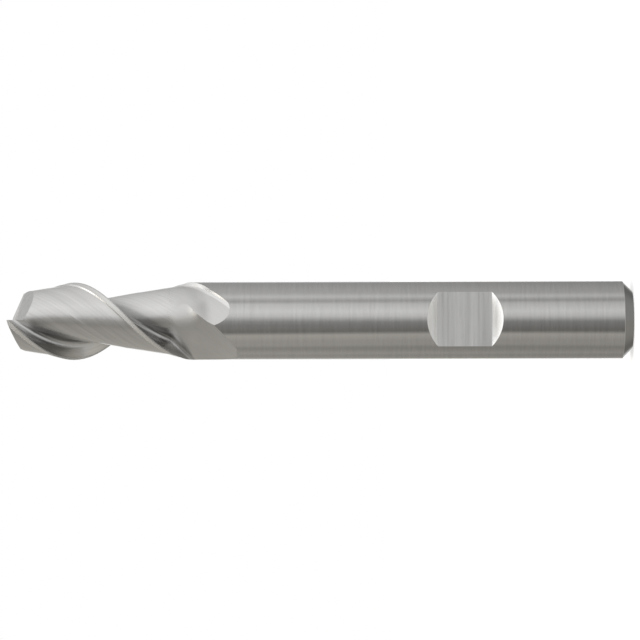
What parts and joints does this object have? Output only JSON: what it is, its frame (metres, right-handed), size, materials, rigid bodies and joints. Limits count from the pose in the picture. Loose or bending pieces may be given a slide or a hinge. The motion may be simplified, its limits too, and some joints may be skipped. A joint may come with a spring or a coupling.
{
  "type": "end mill",
  "caption": "Slender right-hand slot drill: helical flutes, end teeth to the centre, straight shank with a side-lock clamping flat.",
  "frame": {"origin": "centre of the shank's end face", "axes": "+Z along the tool's axis to the cutting end, -Y out of the clamping flat, +X square to both"},
  "size_m": [0.008, 0.008, 0.064],
  "materials": {
    "ground_steel": "bright ground high-speed steel, uncoated"
  },
  "bodies": {
    "root": {"end_mill": "ground_steel"}
  },
  "joints": []
}
